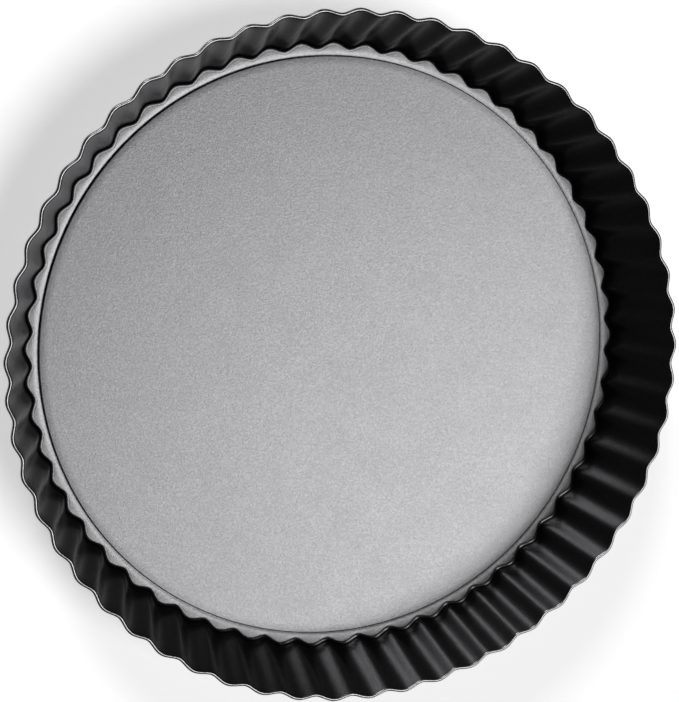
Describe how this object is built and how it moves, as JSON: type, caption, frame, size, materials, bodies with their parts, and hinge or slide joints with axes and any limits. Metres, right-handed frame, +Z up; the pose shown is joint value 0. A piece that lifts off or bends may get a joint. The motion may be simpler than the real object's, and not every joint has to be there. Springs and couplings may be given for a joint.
{
  "type": "tart pan",
  "caption": "Round fluted tart pan: a low flared ring with a rolled rim and an inward ledge, and a loose flat base plate that rests on the ledge and lifts out.",
  "frame": {"origin": "on the pan's axis at the underside of the ring's ledge, which is the surface that the pan stands on", "axes": "+Z up along the pan's axis of symmetry, out of the open top; +X through a ridge between two flutes"},
  "size_m": [0.2498, 0.25, 0.036],
  "materials": {
    "ring_coating": "semi-gloss charcoal non-stick coating with fine metallic flake over pressed carbon steel",
    "base_coating": "satin charcoal-grey non-stick coating with fine metallic flake over flat carbon steel sheet"
  },
  "bodies": {
    "ring": {"fluted_ring": "ring_coating"},
    "base": {"loose_base": "base_coating"}
  },
  "joints": [
    {"name": "base_lift", "type": "slide", "parent": "ring", "child": "base", "axis": [0, 0, 1], "range_m": [0, 0.045]}
  ]
}
